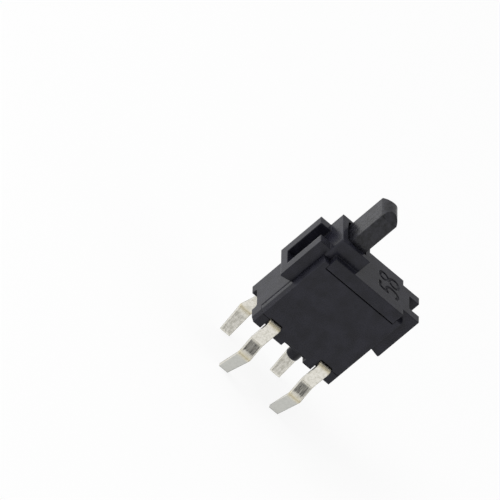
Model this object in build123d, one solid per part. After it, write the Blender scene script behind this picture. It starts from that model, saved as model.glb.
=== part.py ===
from build123d import *
import os

# Micro switch with a sliding plunger, in millimetres. The origin is the axis of the locating
# boss on the seating plane. +Z is up, +X runs along the housing away from the plunger and the
# cover faces -Y. Every piece is drawn about the middle of the body, and moved on export.

# Body
body_width = 7.2
body_height = 7.3
band_depth = 2.9
rear_wall_depth = 0.55
front_wall_depth = 0.65
side_wall = 0.6
roof = 0.75
base = 1.5
corner_radius = 0.1
bevel_width = 0.14
bevel_depth = 0.42
cavity_radius = 0.1

# Strip along the top of both faces, narrower than the body
strip_inset = 0.55
strip_height = 0.95
ear_height = 0.35
seam_gap = 0.08
joint_gap = 0.03
joint_chamfer = 0.09
joint_lap = 0.2

# Feet: cuts in the lower edge of both faces and a groove under the base
notch_width = 1.05
notch_height = 1.05
notch_radius = 0.08
recess_height = 0.4
recess_shift = 0.08
recess_radius = 0.15
inner_foot_width = 0.8
front_foot = 1.3
rear_foot = 0.85
groove_height = 0.45
groove_radius = 0.2
corner_foot_height = 0.9

# Channels on both ends, which slide over the edges of a panel or frame
channel_reach = 0.9
channel_length = 3.8
channel_slope = 0.19
channel_slot = 1.42
channel_web = 0.68
channel_radius = 0.1

# Collar round the plunger, with a well that leaves a gap on its outer side
collar_height = 1.15
collar_outer_rim = 0.7
collar_inner_rim = 0.45
collar_radius = 0.2
collar_lap = 0.15
well_gap = 0.24
well_radius = 0.3
guide_radius = 0.12

# Plunger and the slider that it is moulded on; contact_travel is the stroke up to the contacts
plunger_inset = 1.35
plunger_width = 1.3
plunger_depth = 2.2
plunger_height = 11.3
plunger_crown = 0.5
plunger_edge = 0.1
guide_clearance = 0.08
contact_travel = 0.6
stop_clearance = 0.05
head_height = 0.9
head_depth = 1.8
head_clearance = 0.1
leg_width = 1.0
leg_depth = 0.9
leg_height = 0.9

# Terminals: a blade inside, a level run out through the face and a kinked leg that tapers below
terminal_inset = 1.3
terminal_width = 0.97
terminal_thickness = 0.24
blade_bend = 0.17
exit_bend = 0.3
terminal_clearance = 0.02
leg_row = 2.28
kink_row = 2.78
tip_row = 2.12
kink_start = 0.82
kink_end = 1.96
tip_drop = 3.92
tip_width = 0.76
kink_bend = 0.15

# Contact clips that bridge a front and a rear blade when the plunger is pressed
clip_thickness = 0.1
clip_width = 0.7
clip_gap = 0.03
clip_bend = 0.12
clip_peak_bend = 0.06
clip_rise = 0.4
clip_arm = 0.85
clip_leg_gap = 0.02

# Return spring
spring_diameter = 1.3
spring_wire = 0.14
spring_turns = 6
spring_side_count = 8
spring_clearance = 0.02
pocket_diameter = 1.45
pocket_depth = 0.6
spigot_diameter = 0.8
spigot_height = 0.5

# Locating boss, on a wider root that stands in the groove
boss_inset = 2.5
boss_diameter = 1.0
boss_length = 1.18
boss_round = 0.2
boss_root_diameter = 1.4

# Shared levels and planes
half_width = body_width / 2
half_band = band_depth / 2
strip_width = body_width - 2 * strip_inset
rear_plane = half_band + rear_wall_depth
front_plane = half_band + front_wall_depth
joint_plane = half_band - joint_lap
strip_bottom = body_height - strip_height
ear_top = strip_bottom + ear_height
channel_bottom = body_height - channel_length
collar_top = body_height + collar_height
cavity_top = body_height - roof
head_top = cavity_top - stop_clearance
head_bottom = head_top - head_height
leg_bottom = head_bottom - leg_height
blade_height = leg_bottom + clip_rise - contact_travel
plunger_place = plunger_inset - half_width
plunger_left = plunger_place - plunger_width / 2
plunger_right = plunger_place + plunger_width / 2
guide_width = plunger_width + 2 * guide_clearance
guide_depth = plunger_depth + 2 * guide_clearance
boss_place = half_width - boss_inset
terminal_pitch = body_width - 2 * terminal_inset
notch_places = (-terminal_pitch / 2, terminal_pitch / 2)
recess_width = terminal_pitch - notch_width - 2 * inner_foot_width
blade_row = half_band - terminal_thickness / 2
foot_width = terminal_inset - notch_width / 2


# Extrusions of a profile between two values of one axis
def along_x(profile, start, end):
    return extrude(Plane.YZ.offset(start) * profile, end - start)


def along_y(profile, start, end):
    return extrude(Plane.XZ.offset(-end) * profile, end - start)


def along_z(profile, start, end):
    return extrude(Plane.XY.offset(start) * profile, end - start)


# Rectangle between two corners of a drawing plane
def panel(left, bottom, right, top):
    return Pos((left + right) / 2, (bottom + top) / 2) * Rectangle(right - left, top - bottom)


# Opening in a lower edge: round at its two top corners and running out below the edge
def edge_notch(width, height, radius):
    opening = Rectangle(width, 2 * height)
    return fillet(opening.vertices().group_by(Axis.Y)[-1], radius)


# Upright edges at the two ends of a piece that spans the body
def upright_ends(piece):
    return piece.edges().filter_by(Axis.Z).filter_by(lambda edge: abs(edge.center().X) > half_width - joint_gap)


# Outline that the cover and the rear wall share, up to the shoulders beside the strip
def face_outline():
    cuts = Pos(recess_shift, 0) * edge_notch(recess_width, recess_height, recess_radius)
    for place in notch_places:
        cuts += Pos(place, 0) * edge_notch(notch_width, notch_height, notch_radius)
    return panel(-half_width, 0, half_width, ear_top) - cuts


# Lower corner of the front face that belongs to the housing, with a gap above it
def corner_panel(gap):
    return panel(-half_width, 0, -half_width + foot_width, corner_foot_height + gap)


# Outer edges of both side walls above the corner feet, where the cover laps round the band
def lap_panels(gap):
    left = panel(-half_width, corner_foot_height + gap, side_wall - half_width, ear_top)
    return left + mirror(left, about=Plane.YZ)


# Slim bevels down both upright edges of the front face
def bevel_front(piece):
    side = bevel_depth - front_plane
    plan = make_face(
        Polyline(
            (-half_width, 0),
            (-half_width, side),
            (bevel_width - half_width, -front_plane),
            (half_width - bevel_width, -front_plane),
            (half_width, side),
            (half_width, 0),
            close=True,
        )
    )
    return piece & along_z(plan, 0, body_height)


# Band in the middle of the body, grooved below and chamfered along its joint with the cover
def middle_band():
    band = along_y(panel(-half_width, 0, half_width, body_height), -half_band, half_band)
    groove = panel(front_foot - front_plane, -groove_height, rear_plane - rear_foot, groove_height)
    groove = fillet(groove.vertices().group_by(Axis.Y)[-1], groove_radius)
    band -= along_x(groove, -half_width, half_width)
    band -= along_y(lap_panels(0), -half_band, -joint_plane)
    joint = upright_ends(band).filter_by(lambda edge: abs(edge.center().Y + joint_plane) < joint_gap)
    return chamfer(joint, joint_chamfer)


# Rear face, moulded in one with the band
def rear_wall():
    wall = along_y(face_outline(), half_band, rear_plane)
    wall += along_y(panel(-strip_width / 2, ear_top, strip_width / 2, body_height), half_band, rear_plane)
    return fillet(upright_ends(wall).group_by(Axis.Y)[-1], corner_radius)


# Foot of the housing that fills a lower front corner beside the cover
def corner_foot():
    return bevel_front(along_y(corner_panel(0), -front_plane, -half_band))


# Panel channel: a block open at its top and along its outer side, with a sloping underside
def panel_channel():
    outer = half_width + channel_reach
    corners = (
        (half_width, body_height),
        (half_width, channel_bottom + channel_slope),
        (outer, channel_bottom),
        (outer, body_height),
    )
    block = along_y(make_face(Polyline(*corners, close=True)), -half_band, half_band)
    lower = block.edges().filter_by(Axis.Y).group_by(Axis.X)[-1].sort_by(Axis.Z)[0]
    block = fillet(lower, channel_radius)
    slot = panel(-channel_slot / 2, channel_bottom + channel_web, channel_slot / 2, body_height)
    return block - along_x(slot, half_width, outer)


# Collar that stands round the plunger above the top face, rounded at its outer front corner
def collar():
    left = plunger_left - collar_outer_rim
    right = plunger_right + collar_inner_rim
    wall = along_z(panel(left, -half_band - collar_lap, right, half_band), ear_top, collar_top)
    return fillet(wall.edges().filter_by(Axis.Z).group_by(Axis.X)[0].sort_by(Axis.Y)[0], collar_radius)


# Way for the plunger: a close guide through the roof and a wider well in the collar
def plunger_way():
    guide = Pos(plunger_place, 0) * RectangleRounded(guide_width, guide_depth, guide_radius)
    right = plunger_right + guide_clearance
    well = panel(plunger_left - well_gap, -guide_depth / 2, right, guide_depth / 2)
    well = fillet(well.vertices().group_by(Axis.X)[0], well_radius)
    return along_z(guide, cavity_top, body_height) + along_z(well, body_height, collar_top)


# Room for the slider, open to the front until the cover closes it
def cavity():
    width = body_width - 2 * side_wall
    height = cavity_top - base
    room = Pos(0, base + height / 2) * RectangleRounded(width, height, cavity_radius)
    return along_y(room, -half_band, half_band)


# Ways through the base for one terminal of each row
def terminal_ways(place):
    way = along_y(Pos(place, 0) * edge_notch(notch_width, notch_height, notch_radius), -half_band, half_band)
    blade_room = terminal_width / 2 + terminal_clearance
    inner = half_band - terminal_thickness - terminal_clearance
    slot = along_y(panel(place - blade_room, 0, place + blade_room, base), -half_band, half_band)
    core = along_y(panel(place - notch_width, 0, place + notch_width, base), -inner, inner)
    return way + slot - core


def housing():
    body = middle_band() + rear_wall() + collar()
    strip = panel(-strip_width / 2, strip_bottom, strip_width / 2, body_height)
    body += along_y(strip, -front_plane, -half_band)
    for end in (corner_foot(), panel_channel()):
        body += end + mirror(end, about=Plane.YZ)
    body -= cavity()
    for place in notch_places:
        body -= terminal_ways(place)
    body -= plunger_way()
    boss = along_z(Pos(boss_place, 0) * Circle(boss_diameter / 2), -boss_length, base)
    body += fillet(boss.edges().sort_by(Axis.Z)[0], boss_round)
    body += along_z(Pos(boss_place, 0) * Circle(boss_root_diameter / 2), 0, base)
    return body + along_z(Circle(spigot_diameter / 2), base, base + spigot_height)


# Cover plate with ears beside the strip, cut back above the corner feet of the housing
def cover():
    room = strip_width / 2 + joint_gap
    corner = corner_panel(joint_gap)
    outline = face_outline() - panel(-room, strip_bottom - seam_gap, room, ear_top)
    outline -= corner + mirror(corner, about=Plane.YZ)
    plate = along_y(outline, -front_plane, -half_band)
    plate = bevel_front(plate + along_y(lap_panels(joint_gap), -half_band, -joint_plane))
    return chamfer(upright_ends(plate).group_by(Axis.Y)[-1], joint_chamfer)


# Plunger bar with a crowned tip and sloped ends, on the slider head and its two legs
def plunger():
    bar_top = plunger_height + plunger_crown
    section = Pos(plunger_place, 0) * RectangleRounded(plunger_width, plunger_depth, plunger_edge)
    bar = along_z(section, head_bottom, bar_top)
    start = (plunger_left, plunger_height)
    end = (plunger_right, plunger_height)
    crown = make_face(
        Polyline(start, (plunger_left, head_bottom), (plunger_right, head_bottom), end)
        + ThreePointArc(end, (plunger_place, bar_top), start)
    )
    bar &= along_y(crown, -plunger_depth / 2, plunger_depth / 2)
    slopes = chamfer(
        panel(-plunger_depth / 2, head_bottom, plunger_depth / 2, bar_top).vertices().group_by(Axis.Y)[-1],
        plunger_crown,
    )
    bar &= along_x(slopes, plunger_left, plunger_right)
    head_width = body_width - 2 * side_wall - 2 * head_clearance
    head = Pos(0, (head_bottom + head_top) / 2) * RectangleRounded(head_width, head_height, cavity_radius)
    slider = bar + along_y(head, -head_depth / 2, head_depth / 2)
    for place in notch_places:
        leg = Pos(place, 0) * Rectangle(leg_width, leg_depth)
        slider += along_z(leg, leg_bottom, head_bottom)
    pocket = Circle(pocket_diameter / 2)
    return slider - along_z(pocket, head_bottom, head_bottom + pocket_depth)


# Terminal of the rear row, bent from strip and narrowed at its tip
def rear_terminal(place):
    level = notch_height - terminal_clearance - blade_bend
    bends = (blade_bend, exit_bend, kink_bend, kink_bend)
    route = FilletPolyline(
        (blade_row, blade_height),
        (blade_row, level),
        (leg_row, level),
        (leg_row, -kink_start),
        (kink_row, -kink_end),
        (tip_row, -tip_drop),
        radius=bends,
    )
    half = terminal_width / 2
    strip = along_x(trace(route, terminal_thickness), place - half, place + half)
    reach = tip_drop + terminal_thickness
    outline = make_face(
        Polyline(
            (-half, blade_height + terminal_thickness),
            (-half, -kink_end),
            (-tip_width / 2, -reach),
            (tip_width / 2, -reach),
            (half, -kink_end),
            (half, blade_height + terminal_thickness),
            close=True,
        )
    )
    return strip & along_y(Pos(place, 0) * outline, 0, kink_row + terminal_thickness)


def front_terminal(place):
    return mirror(rear_terminal(place), about=Plane.XZ)


# Contact clip: a strip folded under a leg of the slider, with a bulge towards each blade
def contact_clip(place):
    web = leg_bottom - clip_thickness / 2
    peak = half_band - terminal_thickness - clip_gap - clip_thickness / 2
    waist = leg_depth / 2 + clip_thickness / 2 + clip_leg_gap
    side = (
        (waist, leg_bottom + clip_arm),
        (waist, leg_bottom + clip_arm - clip_rise / 2),
        (peak, leg_bottom + clip_rise),
        (waist, web),
    )
    other = [(-y, z) for y, z in reversed(side)]
    bends = (clip_bend, clip_peak_bend, clip_bend, clip_bend, clip_peak_bend, clip_bend)
    strip = trace(FilletPolyline(*side, *other, radius=bends), clip_thickness)
    return along_x(strip, place - clip_width / 2, place + clip_width / 2)


# Compression spring between the base and the roof of the pocket in the slider
def return_spring():
    low = base + spring_clearance + spring_wire / 2
    height = head_bottom + pocket_depth - spring_clearance - spring_wire / 2 - low
    mean_radius = (spring_diameter - spring_wire) / 2
    coil = Pos(0, 0, low) * Helix(pitch=height / spring_turns, height=height, radius=mean_radius)
    section = Plane(coil @ 0, z_dir=coil % 0) * RegularPolygon(spring_wire / 2, spring_side_count)
    return sweep(section, path=coil, is_frenet=True)


nodes = {
    "housing": housing(),
    "cover": cover(),
    "plunger": plunger(),
    "return_spring": return_spring(),
}
for name, place in zip(("left", "right"), notch_places):
    nodes[f"terminal_front_{name}"] = front_terminal(place)
    nodes[f"terminal_rear_{name}"] = rear_terminal(place)
    nodes[f"contact_clip_{name}"] = contact_clip(place)

os.makedirs("parts", exist_ok=True)
for node, shape in nodes.items():
    export_step(Pos(-boss_place, 0, 0) * shape, f"parts/{node}.step")
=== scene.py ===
import math

import bpy
from mathutils import Matrix, Vector


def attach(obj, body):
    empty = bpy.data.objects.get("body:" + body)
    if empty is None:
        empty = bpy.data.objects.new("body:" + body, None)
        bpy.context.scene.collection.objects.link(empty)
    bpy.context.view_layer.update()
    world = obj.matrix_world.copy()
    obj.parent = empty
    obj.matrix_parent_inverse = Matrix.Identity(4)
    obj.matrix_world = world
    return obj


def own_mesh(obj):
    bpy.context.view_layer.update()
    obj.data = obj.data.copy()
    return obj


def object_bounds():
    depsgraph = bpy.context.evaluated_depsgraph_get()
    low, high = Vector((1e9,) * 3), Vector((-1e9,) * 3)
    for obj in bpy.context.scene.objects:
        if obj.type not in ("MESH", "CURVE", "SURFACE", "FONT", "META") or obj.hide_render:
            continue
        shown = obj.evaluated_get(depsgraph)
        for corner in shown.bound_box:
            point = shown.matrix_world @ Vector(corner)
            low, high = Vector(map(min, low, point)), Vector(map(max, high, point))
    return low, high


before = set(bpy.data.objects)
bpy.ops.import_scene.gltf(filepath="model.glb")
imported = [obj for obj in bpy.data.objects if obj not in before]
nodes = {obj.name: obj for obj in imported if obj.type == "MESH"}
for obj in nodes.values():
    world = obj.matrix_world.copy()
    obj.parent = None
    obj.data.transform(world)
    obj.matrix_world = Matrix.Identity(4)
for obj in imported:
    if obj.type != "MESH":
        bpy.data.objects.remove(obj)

mm = 0.001
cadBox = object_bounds()


# sRGB hex to the linear colour that shaders want
def linearColour(hexCode):
    channels = [int(hexCode[i:i + 2], 16) / 255 for i in (1, 3, 5)]
    return [c / 12.92 if c <= 0.04045 else ((c + 0.055) / 1.055) ** 2.4 for c in channels] + [1]


# adds one node with its settings, input values and links to it
def addNode(tree, kind, settings=None, inputs=None, links=None):
    node = tree.nodes.new(kind)
    for name, value in (settings or {}).items():
        setattr(node, name, value)
    for name, value in (inputs or {}).items():
        node.inputs[name].default_value = value
    for name, source in (links or {}).items():
        tree.links.new(source, node.inputs[name])
    return node


def newMaterial(name):
    material = bpy.data.materials.new(name)
    material.use_nodes = True
    material.node_tree.nodes.clear()
    return material, material.node_tree


# housing and cover are moulded in black PBT
mouldedPbt = {
    "baseColour": "#1a1a21",
    "cloudColour": "#24242d",   # resin that froze first is a shade greyer
    "ior": 1.5,
    "specularLevel": 0.23,      # the fine grain hides a part of the shine
    "roughness": 0.28,
    "roughnessSpread": 0.12,
    "grainMm": 0.11,            # spark-eroded mould, 0.02 mm in truth, drawn coarser to show
    "grainDepthMm": 0.004,
    "cloudMm": 0.8,             # flow patches of the resin
    "contrast": (0.35, 0.65),   # part of the grain and clouds that is stretched to full strength
    "edgeRadiusMm": 0.09,       # mould radius on every edge
}

# the plunger is the same black PBT, rubbed by its guide and by fingers
rubbedPbt = {
    "baseColour": "#141418",
    "cloudColour": "#2a2a30",   # dry rubbed spots are greyer
    "ior": 1.5,
    "specularLevel": 0.3,
    "roughness": 0.26,
    "roughnessSpread": 0.3,
    "grainMm": 0.16,            # scuffs, 0.03 mm in truth, drawn coarser to show
    "grainDepthMm": 0.011,
    "cloudMm": 0.3,
    "contrast": (0.35, 0.65),
    "edgeRadiusMm": 0.09,
}


# black PBT, injection moulded in a spark-eroded tool: an even satin black that greys where it
# is seen at a low angle, with a fine grain in its highlights
def makeMouldedPbt(name, look):
    material, tree = newMaterial(name)
    place = addNode(tree, "ShaderNodeTexCoord").outputs["Object"]
    grain = addNode(tree, "ShaderNodeTexNoise",
                    inputs={"Scale": 1 / (look["grainMm"] * mm), "Detail": 2, "Roughness": 0.6},
                    links={"Vector": place})
    cloud = addNode(tree, "ShaderNodeTexNoise",
                    inputs={"Scale": 1 / (look["cloudMm"] * mm), "Detail": 3},
                    links={"Vector": place})
    faint, full = look["contrast"]
    patches = addNode(tree, "ShaderNodeMapRange", inputs={"From Min": faint, "From Max": full},
                      links={"Value": cloud.outputs["Fac"]})
    colour = addNode(tree, "ShaderNodeMix", settings={"data_type": "RGBA"},
                     links={0: patches.outputs["Result"]})
    colour.inputs[6].default_value = linearColour(look["baseColour"])
    colour.inputs[7].default_value = linearColour(look["cloudColour"])
    low = look["roughness"] - look["roughnessSpread"] / 2
    gloss = addNode(tree, "ShaderNodeMapRange",
                    inputs={"From Min": faint, "From Max": full,
                            "To Min": low, "To Max": low + look["roughnessSpread"]},
                    links={"Value": grain.outputs["Fac"]})
    edges = addNode(tree, "ShaderNodeBevel", settings={"samples": 8},
                    inputs={"Radius": look["edgeRadiusMm"] * mm})
    bump = addNode(tree, "ShaderNodeBump",
                   inputs={"Strength": 1, "Distance": look["grainDepthMm"] * mm},
                   links={"Height": grain.outputs["Fac"], "Normal": edges.outputs["Normal"]})
    shader = addNode(tree, "ShaderNodeBsdfPrincipled",
                     inputs={"IOR": look["ior"], "Specular IOR Level": look["specularLevel"]},
                     links={"Base Color": colour.outputs[2], "Roughness": gloss.outputs["Result"],
                            "Normal": bump.outputs["Normal"]})
    addNode(tree, "ShaderNodeOutputMaterial", links={"Surface": shader.outputs["BSDF"]})
    return material


# terminals are bronze strip, tin plated and then bent
platedTerminal = {
    "tinColour": "#e4e1d8",
    "dullColour": "#d2cfc4",    # spots where the tin has gone dull
    "tipShadeColour": "#b9bab6",     # painted shade: outside, the lower leg is darkened towards its tip
    "bendColour": "#d3c8a6",    # the plating thins over a bend and bronze warms it
    "roughness": 0.2,
    "roughnessSpread": 0.1,
    "bendRoughness": 0.5,       # added over a bend, where the plating crazes
    "rollingMm": 0.16,          # rolling lines of the strip, 0.01 mm in truth, drawn coarser to show
    "rollingStretch": 7,
    "spotMm": 0.2,              # tin crystals, 0.05 mm in truth, drawn coarser to show
    "reliefMm": 0.008,
    "tipShadeShare": 0.8,
    "tipStartMm": -1.9,
    "tipEndMm": -2.3,
    "spotContrast": (0.42, 0.66),
    "glossContrast": (0.3, 0.7),
    "bends": [                  # level and reach in mm, tint, slope added to the shading there
        (0.82, 0.32, 0.8, 0.4),
        (-0.82, 0.14, 0.15, 0.12),
        (-1.96, 0.4, 0.75, -0.34),
    ],
    "edgeRadiusMm": 0.18,       # edges rolled over by the stamping
}


# tint and relief of the leg's bends, found by height: a warm band, and a slope that fades away
# from the fold and so softens or sharpens it
def addBends(tree, height, bends):
    warmth = addNode(tree, "ShaderNodeValue").outputs[0]
    fold = addNode(tree, "ShaderNodeValue").outputs[0]
    for level, reach, tint, slope in bends:
        away = addNode(tree, "ShaderNodeMath", settings={"operation": "SUBTRACT"},
                       inputs={1: level * mm}, links={0: height})
        away = addNode(tree, "ShaderNodeMath", settings={"operation": "ABSOLUTE"},
                       links={0: away.outputs[0]})
        near = addNode(tree, "ShaderNodeMapRange",
                       inputs={"From Min": 0, "From Max": reach * mm, "To Min": 1, "To Max": 0},
                       links={"Value": away.outputs[0]})
        soft = addNode(tree, "ShaderNodeMath", settings={"operation": "POWER"}, inputs={1: 2},
                       links={0: near.outputs["Result"]}).outputs[0]
        warmth = addNode(tree, "ShaderNodeMath", settings={"operation": "MULTIPLY_ADD"},
                         inputs={1: tint}, links={0: soft, 2: warmth}).outputs[0]
        fold = addNode(tree, "ShaderNodeMath", settings={"operation": "MULTIPLY_ADD"},
                       inputs={1: slope * reach * mm / 2}, links={0: soft, 2: fold}).outputs[0]
    return warmth, fold


# tin-plated phosphor bronze strip, rolled and bent: bright, softly mottled metal with fine
# lines along the leg and a faint warm tint at each bend
def makePlatedTerminal(name, look):
    material, tree = newMaterial(name)
    place = addNode(tree, "ShaderNodeTexCoord").outputs["Object"]
    along = 1 / look["rollingStretch"]
    stretched = addNode(tree, "ShaderNodeMapping", inputs={"Scale": (1, along, along)},
                        links={"Vector": place})
    lines = addNode(tree, "ShaderNodeTexNoise",
                    inputs={"Scale": 1 / (look["rollingMm"] * mm), "Detail": 2},
                    links={"Vector": stretched.outputs["Vector"]})
    spots = addNode(tree, "ShaderNodeTexNoise",
                    inputs={"Scale": 1 / (look["spotMm"] * mm), "Detail": 2},
                    links={"Vector": place})

    # 1 on the outer face of the strip and -1 on its inner face
    position = addNode(tree, "ShaderNodeSeparateXYZ", links={"Vector": place})
    normal = addNode(tree, "ShaderNodeTexCoord").outputs["Normal"]
    facing = addNode(tree, "ShaderNodeSeparateXYZ", links={"Vector": normal})
    across = addNode(tree, "ShaderNodeMath", settings={"operation": "MULTIPLY"},
                     links={0: facing.outputs["Y"], 1: position.outputs["Y"]})
    outside = addNode(tree, "ShaderNodeMath", settings={"operation": "SIGN"},
                      links={0: across.outputs[0]})

    # colour: dull spots, painted shade on the outside of the lower leg, and the thin plating over the
    # bends
    faint, full = look["spotContrast"]
    dull = addNode(tree, "ShaderNodeMapRange", inputs={"From Min": faint, "From Max": full},
                   links={"Value": spots.outputs["Fac"]})
    tin = addNode(tree, "ShaderNodeMix", settings={"data_type": "RGBA"},
                  links={0: dull.outputs["Result"]})
    tin.inputs[6].default_value = linearColour(look["tinColour"])
    tin.inputs[7].default_value = linearColour(look["dullColour"])
    height = position.outputs["Z"]
    # painted shade: outside, the lower leg darkens smoothly from tipStartMm down to tipEndMm
    tip = addNode(tree, "ShaderNodeMapRange", settings={"interpolation_type": "SMOOTHSTEP"},
                  inputs={"From Min": look["tipEndMm"] * mm, "From Max": look["tipStartMm"] * mm,
                          "To Min": look["tipShadeShare"], "To Max": 0},
                  links={"Value": height})
    tipShade = addNode(tree, "ShaderNodeMath", settings={"operation": "MULTIPLY", "use_clamp": True},
                     links={0: tip.outputs["Result"], 1: outside.outputs[0]})
    plated = addNode(tree, "ShaderNodeMix", settings={"data_type": "RGBA"},
                     links={0: tipShade.outputs[0], 6: tin.outputs[2]})
    plated.inputs[7].default_value = linearColour(look["tipShadeColour"])
    warmth, fold = addBends(tree, height, look["bends"])
    fold = addNode(tree, "ShaderNodeMath", settings={"operation": "MULTIPLY"},
                   links={0: fold, 1: outside.outputs[0]})
    colour = addNode(tree, "ShaderNodeMix", settings={"data_type": "RGBA"},
                     links={0: warmth, 6: plated.outputs[2]})
    colour.inputs[7].default_value = linearColour(look["bendColour"])

    # shine and relief
    faint, full = look["glossContrast"]
    low = look["roughness"] - look["roughnessSpread"] / 2
    gloss = addNode(tree, "ShaderNodeMapRange",
                    inputs={"From Min": faint, "From Max": full,
                            "To Min": low, "To Max": low + look["roughnessSpread"]},
                    links={"Value": spots.outputs["Fac"]})
    crazed = addNode(tree, "ShaderNodeMath", settings={"operation": "MULTIPLY_ADD"},
                     inputs={1: look["bendRoughness"]},
                     links={0: warmth, 2: gloss.outputs["Result"]})
    relief = addNode(tree, "ShaderNodeMath", settings={"operation": "MULTIPLY_ADD"},
                     inputs={1: look["reliefMm"] * mm},
                     links={0: lines.outputs["Fac"], 2: fold.outputs[0]})
    edges = addNode(tree, "ShaderNodeBevel", settings={"samples": 8},
                    inputs={"Radius": look["edgeRadiusMm"] * mm})
    bump = addNode(tree, "ShaderNodeBump", inputs={"Strength": 1, "Distance": 1},
                   links={"Height": relief.outputs[0], "Normal": edges.outputs["Normal"]})
    shader = addNode(tree, "ShaderNodeBsdfPrincipled", inputs={"Metallic": 1},
                     links={"Base Color": colour.outputs[2], "Roughness": crazed.outputs[0],
                            "Normal": bump.outputs["Normal"]})
    addNode(tree, "ShaderNodeOutputMaterial", links={"Surface": shader.outputs["BSDF"]})
    return material


# drawn or rolled bare metal inside the housing
innerMetal = {
    "clipColour": "#d7c294",
    "springColour": "#c4c5c8",
    "roughness": 0.33,
    "roughnessSpread": 0.14,
    "lineMm": 0.05,             # lines of the rolls and the die, a few microns in truth
}


# bare spring strip and drawn wire: a satin metal with fine lines left by the rolls or the die
def makeInnerMetal(name, hexCode, look):
    material, tree = newMaterial(name)
    place = addNode(tree, "ShaderNodeTexCoord").outputs["Object"]
    lines = addNode(tree, "ShaderNodeTexNoise", inputs={"Scale": 1 / (look["lineMm"] * mm)},
                    links={"Vector": place})
    low = look["roughness"] - look["roughnessSpread"] / 2
    gloss = addNode(tree, "ShaderNodeMapRange",
                    inputs={"To Min": low, "To Max": low + look["roughnessSpread"]},
                    links={"Value": lines.outputs["Fac"]})
    shader = addNode(tree, "ShaderNodeBsdfPrincipled",
                     inputs={"Metallic": 1, "Base Color": linearColour(hexCode)},
                     links={"Roughness": gloss.outputs["Result"]})
    addNode(tree, "ShaderNodeOutputMaterial", links={"Surface": shader.outputs["BSDF"]})
    return material


def dress(node, material):
    piece = nodes[node]
    piece.data.materials.clear()
    piece.data.materials.append(material)
    return piece


print("materials")
pbt = makeMouldedPbt("PBT black, spark-eroded mould", mouldedPbt)
worn = makeMouldedPbt("PBT black, moulded and rubbed", rubbedPbt)
tin = makePlatedTerminal("Phosphor bronze, tin plated and bent", platedTerminal)
clipMetal = makeInnerMetal("Contact bronze, rolled", innerMetal["clipColour"], innerMetal)
springMetal = makeInnerMetal("Spring steel, drawn", innerMetal["springColour"], innerMetal)

print("pieces")
for node in ("housing", "cover"):
    dress(node, pbt)
dress("plunger", worn)
for row in ("front", "rear"):
    for side in ("left", "right"):
        dress(f"terminal_{row}_{side}", tin)
for side in ("left", "right"):
    dress(f"contact_clip_{side}", clipMetal)


def shortenSpring(piece):
    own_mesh(piece)


shortenSpring(dress("return_spring", springMetal))

# mould number sunk into the top face beside the collar
mouldNumber = {
    "digits": "58",
    "heightMm": 1.65,
    "widthMm": 0.85,
    "pitchMm": 1.2,
    "strokeMm": 0.24,
    "depthMm": 0.13,
    "middleMm": (0.65, 0, 7.3),
}
faceWidth, faceHeight = 2, 4    # grid that the strokes of a digit are drawn on
digitStrokes = {
    "5": [[(1.9, 4), (0.4, 4), (0.4, 4), (0.2, 2.4), (0.2, 2.3), (1, 2.7), (1.8, 2.3), (2, 1.2),
           (1.5, 0.1), (0.7, 0), (0, 0.5)]],
    "8": [[(1, 2.1), (0.1, 2.6), (0.2, 3.8), (1, 4.1), (1.8, 3.8), (1.9, 2.6), (1, 2.1)],
          [(1, 2.1), (0, 1.6), (0, 0.2), (1, -0.1), (2, 0.2), (2, 1.6), (1, 2.1)]],
}


# one groove cutter per stroke, all in one hidden object
def makeNumberCutter(look):
    curve = bpy.data.curves.new("mouldNumberLines", "CURVE")
    curve.dimensions = "3D"
    curve.bevel_depth = look["strokeMm"] * mm / 2
    curve.bevel_resolution = 1
    curve.use_fill_caps = True
    curve.resolution_u = 4
    middleX, middleY, topZ = look["middleMm"]
    z = topZ + look["strokeMm"] / 2 - look["depthMm"]
    for index, digit in enumerate(look["digits"]):
        digitY = middleY + (index - (len(look["digits"]) - 1) / 2) * look["pitchMm"]
        for stroke in digitStrokes[digit]:
            spline = curve.splines.new("NURBS")
            spline.points.add(len(stroke) - 1)
            for point, (across, high) in zip(spline.points, stroke):
                x = middleX + (0.5 - high / faceHeight) * look["heightMm"]
                y = digitY + (across / faceWidth - 0.5) * look["widthMm"]
                point.co = (x * mm, y * mm, z * mm, 1)
            spline.order_u = 3
            spline.use_endpoint_u = True
    lines = bpy.data.objects.new("mouldNumberLines", curve)
    cutter = bpy.data.objects.new("mouldNumberCutter", bpy.data.meshes.new_from_object(lines))
    bpy.context.scene.collection.objects.link(cutter)
    cutter.hide_render = True
    cutter.hide_viewport = True
    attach(cutter, "case")
    return cutter


def sinkNumber(piece, cutter):
    cut = piece.modifiers.new("mouldNumber", "BOOLEAN")
    cut.object = cutter
    cut.operation = "DIFFERENCE"
    cut.solver = "EXACT"
    cut.use_self = True
    cut.material_mode = "INDEX"


sinkNumber(nodes["housing"], makeNumberCutter(mouldNumber))


floorLook = {"colour": "#fafafa", "sizeMm": 900, "shadowShare": 0.15}


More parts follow.
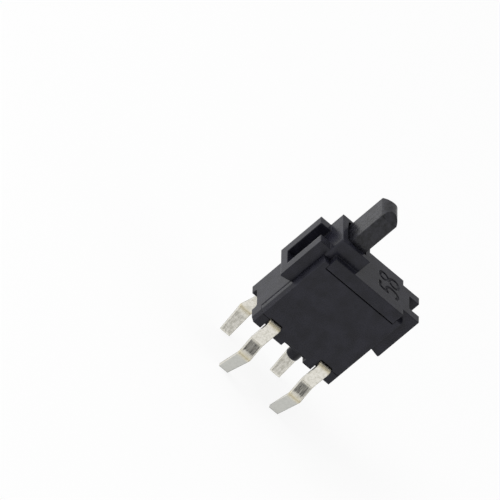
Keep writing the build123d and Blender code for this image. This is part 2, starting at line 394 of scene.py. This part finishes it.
# matt white paper sweep: a plain white ground that keeps a part of the shadow
def makeFloor(look):
    low = cadBox[0]
    half = look["sizeMm"] * mm / 2
    mesh = bpy.data.meshes.new("floor")
    corners = [(x, y, low.z) for x, y in ((-half, -half), (half, -half), (half, half), (-half, half))]
    mesh.from_pydata(corners, [], [(0, 1, 2, 3)])
    floor = bpy.data.objects.new("floor", mesh)
    bpy.context.scene.collection.objects.link(floor)
    material, tree = newMaterial("Paper sweep, matt white")
    white = linearColour(look["colour"])
    path = addNode(tree, "ShaderNodeLightPath")
    seen = addNode(tree, "ShaderNodeMath", settings={"operation": "ADD"},
                   links={0: path.outputs["Is Camera Ray"], 1: path.outputs["Is Glossy Ray"]})
    seen = addNode(tree, "ShaderNodeMath", settings={"operation": "ADD", "use_clamp": True},
                   links={0: seen.outputs[0], 1: path.outputs["Is Transmission Ray"]})
    share = addNode(tree, "ShaderNodeMath", settings={"operation": "MULTIPLY"},
                    inputs={1: 1 - look["shadowShare"]}, links={0: seen.outputs[0]})
    matt = addNode(tree, "ShaderNodeBsdfDiffuse", inputs={"Color": white})
    glow = addNode(tree, "ShaderNodeEmission", inputs={"Color": (1, 1, 1, 1), "Strength": 1})
    mixed = addNode(tree, "ShaderNodeMixShader",
                    links={0: share.outputs[0], 1: matt.outputs["BSDF"],
                           2: glow.outputs["Emission"]})
    addNode(tree, "ShaderNodeOutputMaterial", links={"Surface": mixed.outputs["Shader"]})
    mesh.materials.append(material)


# light tent: white all round, dimmer at the opening in front and at the seam behind
tentLook = {
    "brightness": 0.87,
    "dimmings": [               # towards, starts and ends at this cosine, keeps this share
        ((0.043, -0.828, 0.559), 0.885, 0.916, 0.02),
        ((0.52, 0.76, 0.39), 0.55, 0.9, 0.62),
    ],
}


def makeTent(look):
    world = bpy.data.worlds.new("light tent")
    bpy.context.scene.world = world
    world.use_nodes = True
    tree = world.node_tree
    tree.nodes.clear()
    direction = addNode(tree, "ShaderNodeTexCoord").outputs["Generated"]
    level = addNode(tree, "ShaderNodeValue")
    level.outputs[0].default_value = look["brightness"]
    for aim, start, end, share in look["dimmings"]:
        towards = addNode(tree, "ShaderNodeVectorMath", settings={"operation": "DOT_PRODUCT"},
                          inputs={1: aim}, links={0: direction})
        dim = addNode(tree, "ShaderNodeMapRange", settings={"interpolation_type": "SMOOTHSTEP"},
                      inputs={"From Min": start, "From Max": end, "To Min": 1, "To Max": share},
                      links={"Value": towards.outputs["Value"]})
        level = addNode(tree, "ShaderNodeMath", settings={"operation": "MULTIPLY"},
                        links={0: level.outputs[0], 1: dim.outputs["Result"]})
    path = addNode(tree, "ShaderNodeLightPath")
    strength = addNode(tree, "ShaderNodeMix", inputs={3: 1},
                       links={0: path.outputs["Is Camera Ray"], 2: level.outputs[0]})
    sky = addNode(tree, "ShaderNodeBackground", inputs={"Color": (1, 1, 1, 1)},
                  links={"Strength": strength.outputs[0]})
    addNode(tree, "ShaderNodeOutputWorld", links={"Surface": sky.outputs["Background"]})


# a soft box on the left
lampLook = {"towards": (-1.3, 0.2, 0.75), "distanceMm": 260, "sizeMm": 200, "power": 0.35}


def makeLamp(look, target):
    lamp = bpy.data.lights.new("soft box", "AREA")
    lamp.size = look["sizeMm"] * mm
    lamp.energy = look["power"]
    box = bpy.data.objects.new("soft box", lamp)
    direction = Vector(look["towards"]).normalized()
    box.location = target + direction * look["distanceMm"] * mm
    box.rotation_euler = direction.to_track_quat("Z", "Y").to_euler()
    box.visible_camera = False
    bpy.context.scene.collection.objects.link(box)


# a long lens, turned about its axis so that the switch leans to the right
cameraLook = {
    "azimuth": -24.24,
    "elevation": 23.4,
    "roll": 50.0,
    "distanceMm": 1020,
    "viewWidthMm": 32.63,
    "aimMm": (-1.1, 0, 3.967),
    "aimRightMm": -5.487,       # the switch stands right of the middle
    "aimUpMm": 3.25,            # and below it
}


def makeCamera(look):
    turn = math.radians(look["azimuth"])
    rise = math.radians(look["elevation"])
    roll = math.radians(look["roll"])
    back = Vector((math.sin(turn) * math.cos(rise), -math.cos(turn) * math.cos(rise),
                   math.sin(rise)))
    level = Vector((math.cos(turn), math.sin(turn), 0))
    above = back.cross(level)
    right = level * math.cos(roll) + above * math.sin(roll)
    up = above * math.cos(roll) - level * math.sin(roll)
    lens = bpy.data.cameras.new("long lens")
    lens.sensor_width = 36
    lens.lens = lens.sensor_width * look["distanceMm"] / look["viewWidthMm"]
    lens.clip_start = 0.1
    lens.clip_end = 10
    camera = bpy.data.objects.new("camera", lens)
    aim = Vector(look["aimMm"]) + right * look["aimRightMm"] + up * look["aimUpMm"]
    turned = Matrix((right, up, back)).transposed().to_4x4()
    camera.matrix_world = Matrix.Translation((aim + back * look["distanceMm"]) * mm) @ turned
    bpy.context.scene.collection.objects.link(camera)
    bpy.context.scene.camera = camera


print("studio")
makeFloor(floorLook)
makeTent(tentLook)
makeLamp(lampLook, Vector(cameraLook["aimMm"]) * mm)
makeCamera(cameraLook)
bpy.context.scene.view_settings.view_transform = "Standard"
